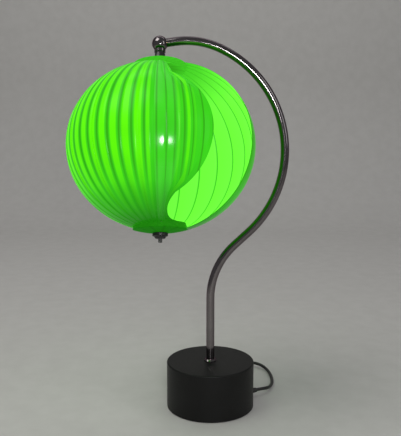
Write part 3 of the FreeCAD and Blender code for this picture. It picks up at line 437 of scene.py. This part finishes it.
def half_angle(ring, lower):
    """Half the angle of the outermost slat's leaf outline at a distance from the axis."""
    corner_mid = LOWER_CORNER_MID if lower else UPPER_CORNER_MID
    corner = LOWER_CORNER if lower else UPPER_CORNER
    if ring <= WAIST.length:
        head_join = Vector((HEAD_R, HEAD_R)) * math.sqrt(0.5)
        return on_arc(ring, head_join, NOTCH_MID, WAIST)
    if ring <= corner.length:
        return on_arc(ring, WAIST, corner_mid, corner)
    edge = Vector((math.cos(LEAF_HALF_ANGLE), math.sin(LEAF_HALF_ANGLE))) * SHADE_R
    along = edge - corner
    a, b, c = along.length_squared, 2 * corner.dot(along), corner.length_squared - ring * ring
    share = (-b + math.sqrt(max(0.0, b * b - 4 * a * c))) / (2 * a)
    point = corner + along * min(1.0, share)
    return math.atan2(point.y, point.x)


# Rows of a leaf from one head to the other, and its columns from -1 to 1, a little closer at the edges
HALF_ROWS = 44
ROWS = [HEAD_EDGE_LATITUDE * (1 - i / HALF_ROWS) for i in range(2 * HALF_ROWS + 1)]
LEAF_COLUMNS = 16
CROWDING = 0.35
EVEN_COLUMNS = [2 * i / LEAF_COLUMNS - 1 for i in range(LEAF_COLUMNS + 1)]
COLUMNS = [math.sin(math.pi * u / 2) * CROWDING + u * (1 - CROWDING) for u in EVEN_COLUMNS]
HEAD_COLUMNS = 48
HEAD_RINGS = 6


def leaf_rows(radius, half_height, inset, leaf_share):
    """Rows of (point, uv, far uv) over one skin of the leaf, from the upper head to the lower."""
    rows = []
    for latitude in ROWS:
        share = math.cos(math.radians(latitude))
        z = (half_height - inset) * math.sin(math.radians(latitude))
        ring = (radius - inset) * share
        height = 0.5 + latitude / 180
        right = LEAF_HALF_ANGLE + (half_angle(SHADE_R * share, latitude < 0) - LEAF_HALF_ANGLE) * leaf_share
        row = []
        for u in COLUMNS:
            angle = -LEAF_HALF_ANGLE + (right + LEAF_HALF_ANGLE) * (u + 1) / 2
            point = Vector((ring * math.sin(angle), -ring * math.cos(angle), z))
            from_edge = math.degrees(LEAF_HALF_ANGLE - angle) / SPAN_DEG
            from_far = math.degrees(LEAF_HALF_ANGLE + angle) / SPAN_DEG
            row.append((point, (from_edge, height), (from_far, height)))
        rows.append(row)
    return rows


def head_rows(radius, half_height, inset, pole, bore):
    """Rows over one skin of a round head, from its bore to its rim."""
    head_r = HEAD_R * radius / SHADE_R
    flat_r = radius * math.cos(math.radians(HEAD_LATITUDE))
    rings = [bore, flat_r * 0.7, flat_r]
    rings += [flat_r + (head_r - flat_r) * i / HEAD_RINGS for i in range(1, HEAD_RINGS + 1)]
    rows = []
    for ring in rings:
        latitude = min(HEAD_LATITUDE, math.degrees(math.acos(ring / radius)))
        z = pole * (half_height - inset) * math.sin(math.radians(latitude))
        scale = (radius - inset) / radius if ring > flat_r else 1.0
        row = []
        for i in range(HEAD_COLUMNS + 1):
            angle = 2 * math.pi * i / HEAD_COLUMNS
            point = Vector((ring * scale * math.sin(angle), -ring * scale * math.cos(angle), z))
            uv = (i / HEAD_COLUMNS, ring / HEAD_R)
            row.append((point, uv, uv))
        rows.append(row)
    return rows


def shade_matrix(turn_deg):
    """From the shade's own axes, with the origin at its middle, to the lamp."""
    tilt = Matrix.Rotation(-SHADE_LEAN, 4, "Y") @ Matrix.Rotation(-SHADE_TILT, 4, "X")
    drop = Matrix.Translation((0, 0, -BALL_TO_CENTRE))
    return Matrix.Translation(BALL) @ tilt @ drop @ Matrix.Rotation(math.radians(turn_deg), 4, "Z")


# Material numbers in a slat's mesh, and the sides of a pair of skins
OUTER_FACE, INNER_FACE, EDGE_FACE, HEAD_FACE, HEAD_INNER_FACE = range(5)
OUTER, INNER, RIM = range(3)


class SheetMesh:
    """Vertices, faces, UVs and material numbers of one slat, gathered skin by skin."""

    def __init__(self):
        self.verts, self.near, self.far, self.faces, self.kinds, self.smooth = [], [], [], [], [], []

    def add_skins(self, outer, inner, kinds, upright):
        """A pair of skins as grids of rows, with their rims closed; kinds are outside, inside and rim."""
        base = len(self.verts)
        columns = len(outer[0])
        for rows in (outer, inner):
            for row in rows:
                for point, near, far in row:
                    self.verts.append(point)
                    self.near.append(near)
                    self.far.append(far)
        offset = len(outer) * columns

        def quad(corners, side):
            self.faces.append(tuple(base + c for c in (corners if upright else corners[::-1])))
            self.kinds.append(kinds[side])
            self.smooth.append(side != RIM)

        for r in range(len(outer) - 1):
            for c in range(columns - 1):
                a, d = r * columns + c, (r + 1) * columns + c
                quad((a, d, d + 1, a + 1), OUTER)
                quad((a + offset, a + 1 + offset, d + 1 + offset, d + offset), INNER)
            for c, flip in ((0, False), (columns - 1, True)):
                a, d = r * columns + c, (r + 1) * columns + c
                loop = (a, a + offset, d + offset, d)
                quad(loop[::-1] if flip else loop, RIM)
        for r, flip in ((0, True), (len(outer) - 1, False)):
            for c in range(columns - 1):
                a = r * columns + c
                loop = (a, a + offset, a + 1 + offset, a + 1)
                quad(loop[::-1] if flip else loop, RIM)


def make_slat(number, inside, edge, heads):
    """Sheet in place of a slat's solid, which rides with it."""
    inset = (SLAT_COUNT - number) * SLAT_PITCH
    radius = SHADE_R - inset
    half_height = SHADE_HALF_H - inset
    sheet = SheetMesh()
    leaf_share = LEAF_SHARES.get(number, 0.0)
    sheet.add_skins(leaf_rows(radius, half_height, 0, leaf_share),
                    leaf_rows(radius, half_height, SLAT_T, leaf_share),
                    (OUTER_FACE, INNER_FACE, EDGE_FACE), True)
    for pole, bore, rim in ((1, TOP_BORE_R, HEAD_INNER_FACE), (-1, LOW_BORE_R, EDGE_FACE)):
        sheet.add_skins(head_rows(radius, half_height, 0, pole, bore),
                        head_rows(radius, half_height, SLAT_T, pole, bore),
                        (HEAD_FACE, HEAD_INNER_FACE, rim), pole > 0)
    place = shade_matrix(slat_azimuth(number))
    mesh = bpy.data.meshes.new("sheet_%02d" % number)
    mesh.from_pydata([place @ point for point in sheet.verts], [], sheet.faces)
    for material in (outer_sheet(number), inside, edge, *heads):
        mesh.materials.append(material)
    for layer, values in (("from_edge", sheet.near), ("from_far_edge", sheet.far)):
        uv = mesh.uv_layers.new(name=layer)
        uv.data.foreach_set("uv", [n for loop in mesh.loops for n in values[loop.vertex_index]])
    mesh.polygons.foreach_set("material_index", sheet.kinds)
    mesh.polygons.foreach_set("use_smooth", sheet.smooth)
    mesh.update()
    node = "slat_%02d" % number
    piece = bpy.data.objects.new("sheet_%02d" % number, mesh)
    bpy.context.scene.collection.objects.link(piece)
    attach(piece, node)
    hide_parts(node)


inside_material = inner_sheet()
edge_material = sheet_edge()
# heads: painted shade outside, going over to SHADOW at the rim; inside, dimmed to the painted shade near the
# neck at the rim
head_materials = (head_sheet("sheet_head", HEAD_DARK, SHADOW),
                  head_sheet("sheet_head_inside", HEAD_INSIDE, mix(INSIDE, NEAR_NECK, NECK_DIMMING)))
for slat_number in range(1, SLAT_COUNT + 1):
    make_slat(slat_number, inside_material, edge_material, head_materials)


# Mains cord

CORD_R = 2.5 * MM
FREE_ROUTE = [
    (72.17, 32.13, 9.5),
    (80.39, 35.79, 9.5),
    (88.6, 43.0, 7.9),
    (95.0, 53.0, 5.2),
    (99.8, 66.0, 3.6),
    (102.6, 80.5, 3.3),
    (103.4, 96.0, 3.3),
    (102.6, 111.5, 3.3),
    (100.4, 126.5, 3.5),
    (95.4, 140.0, 4.8),
    (86.2, 149.9, 6.9),
    (74.5, 153.85, 8.0),
    (64.0, 153.85, 8.0),
]
COIL_X, COIL_Y, COIL_Z = -20.0, 110.0, 3.3
COIL_OUTER_R, COIL_STEP, COIL_LAYER = 41.0, 5.7, 5.7
TURNS_DOWN, TURNS_CLIMB, TURNS_UP = 3.75, 0.5, 3.5
PER_TURN = 16
# A spline cuts the corners of its control points, so they lie a little further out
SPLINE_REACH = 1.012
# How far the cord comes down as it joins the coil
LEAD_DROP = 2.9
SWITCH_EXIT = (0.0, 153.85, 8.0)
# The cord's rise from the coil to the plug: angle round the coil in degrees, distance from its middle, height
TAIL = ((196, 40.8, 10.2), (211, 41.3, 12.2), (227, 41.2, 14.3), (243, 40.0, 16.3), (258, 37.8, 18.2))
PLUG_ENTRY = Vector((-13.8, 79.4, 19.2))
PLUG_HEADING = math.radians(30)


def cord_curve(name, points):
    """Round cord along a smooth spline with these control points, in millimetres."""
    curve = bpy.data.curves.new(name, "CURVE")
    curve.dimensions = "3D"
    curve.bevel_depth = CORD_R
    curve.bevel_resolution = 4
    curve.resolution_u = 6
    spline = curve.splines.new("NURBS")
    spline.points.add(len(points) - 1)
    for target, point in zip(spline.points, points):
        target.co = (*(Vector(point) * MM), 1)
    spline.order_u = 3
    spline.use_endpoint_u = True
    curve.materials.append(finishes["cord_pvc"])
    piece = bpy.data.objects.new(name, curve)
    bpy.context.scene.collection.objects.link(piece)
    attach(piece, "stand")
    return piece


def smooth(t):
    """Eased share from 0 to 1."""
    t = max(0.0, min(1.0, t))
    return t * t * (3 - 2 * t)


def round_coil(angle, radius, z):
    """Point at an angle and a distance from the coil's middle."""
    return (COIL_X + radius * math.cos(angle), COIL_Y + radius * math.sin(angle), z)


def coil_route():
    """Control points from the switch, round the coil's two layers and up to the plug."""
    start = Vector(SWITCH_EXIT)
    points = [start, start + Vector((-6, 0, -0.1)), start + Vector((-14, 0, -1.0))]
    for i in range(0, PER_TURN // 2 + 1):
        turn = i / PER_TURN - 0.5
        radius = (COIL_OUTER_R - COIL_STEP * turn) * SPLINE_REACH
        z = COIL_Z + LEAD_DROP * (1 - smooth(i / 4))
        points.append(round_coil(2 * math.pi * (turn - 0.25), radius, z))
    total = TURNS_DOWN + TURNS_CLIMB + TURNS_UP
    inner = COIL_OUTER_R - TURNS_DOWN * COIL_STEP
    for i in range(1, int(total * PER_TURN) + 1):
        turn = i / PER_TURN
        if turn <= TURNS_DOWN:
            radius, z = COIL_OUTER_R - COIL_STEP * turn, COIL_Z
        elif turn <= TURNS_DOWN + TURNS_CLIMB:
            radius = inner
            z = COIL_Z + COIL_LAYER * smooth((turn - TURNS_DOWN) / TURNS_CLIMB)
        else:
            radius, z = inner + COIL_STEP * (turn - TURNS_DOWN - TURNS_CLIMB), COIL_Z + COIL_LAYER
        points.append(round_coil(2 * math.pi * (turn - 0.25), radius * SPLINE_REACH, z))
    points += [round_coil(math.radians(angle_deg), radius, z) for angle_deg, radius, z in TAIL]
    along = Vector((math.cos(PLUG_HEADING), math.sin(PLUG_HEADING), 0))
    return points + [PLUG_ENTRY - along * 6, PLUG_ENTRY]


free_cord = cord_curve("cord_to_switch", FREE_ROUTE)
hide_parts("mains_cord")
coil_cord = cord_curve("cord_coil_to_plug", coil_route())
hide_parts("cord_coil")


# Studio


def studio():
    """Pale floor that curves up into a backdrop."""
    bend_r, bend_y, wall_z = 0.6, 1.5, 3.2
    profile = [(-3.0, 0.0), (bend_y, 0.0)]
    profile += [(bend_y + bend_r * math.sin(math.radians(a)), bend_r * (1 - math.cos(math.radians(a))))
                for a in range(6, 91, 6)]
    profile.append((bend_y + bend_r, wall_z))
    verts = [(x, y, z) for y, z in profile for x in (-3.5, 3.5)]
    faces = [(2 * i, 2 * i + 1, 2 * i + 3, 2 * i + 2) for i in range(len(profile) - 1)]
    mesh = bpy.data.meshes.new("studio_floor")
    mesh.from_pydata(verts, [], faces)
    mesh.polygons.foreach_set("use_smooth", [True] * len(faces))
    mesh.materials.append(surface("studio_paper", (0.60, 0.59, 0.57), (0.63, 0.62, 0.60), 0.8, grain=40.0))
    floor = bpy.data.objects.new("studio_floor", mesh)
    bpy.context.scene.collection.objects.link(floor)


def soft_light(name, place, aim, size, power, colour=(1, 1, 1)):
    """Rectangular light aimed at a point."""
    data = bpy.data.lights.new(name, "AREA")
    data.shape = "RECTANGLE"
    data.size, data.size_y = size
    data.energy = power
    data.color = colour
    light = bpy.data.objects.new(name, data)
    light.location = place
    light.rotation_mode = "QUATERNION"
    light.rotation_quaternion = (Vector(aim) - Vector(place)).to_track_quat("-Z", "Y")
    bpy.context.scene.collection.objects.link(light)


studio()
soft_light("key_overhead", (-0.9, -0.5, 1.9), (0, 0, 0.3), (1.1, 1.1), 13, (1.0, 0.98, 0.95))
soft_light("fill_right", (1.6, -0.9, 1.0), (0, 0, 0.3), (0.5, 1.3), 3.5)
soft_light("backdrop_wash", (0, 0.9, 2.4), (0, 1.8, 0.6), (2.4, 0.5), 9)
soft_light("window_glint", (0.045, -0.99, 0.485), (-0.07, -0.04, 0.40), (0.085, 0.11), 2.3)
soft_light("window_glint_dim", (0.165, -0.99, 0.485), (-0.07, -0.04, 0.40), (0.075, 0.11), 0.8)

world = bpy.data.worlds.new("studio_world")
bpy.context.scene.world = world
world.use_nodes = True
world.node_tree.nodes["Background"].inputs["Color"].default_value = (0.30, 0.30, 0.31, 1)
world.node_tree.nodes["Background"].inputs["Strength"].default_value = 0.55


# Camera at the photograph's viewpoint

CAMERA_PLACE = Vector((-14.66, -968.5, 434.04)) * MM
CAMERA_DOWN = 8.695
FOCAL_PIXELS = 674.0
IMAGE_LONG_SIDE = 436.0

camera_data = bpy.data.cameras.new("camera")
camera_data.sensor_width = 36.0
camera_data.lens = 36.0 * FOCAL_PIXELS / IMAGE_LONG_SIDE
camera_data.clip_start = 0.01
camera = bpy.data.objects.new("camera", camera_data)
camera.location = CAMERA_PLACE
camera.rotation_euler = (math.radians(90 - CAMERA_DOWN), 0, 0)
bpy.context.scene.collection.objects.link(camera)
bpy.context.scene.camera = camera
bpy.context.scene.view_settings.view_transform = "Standard"
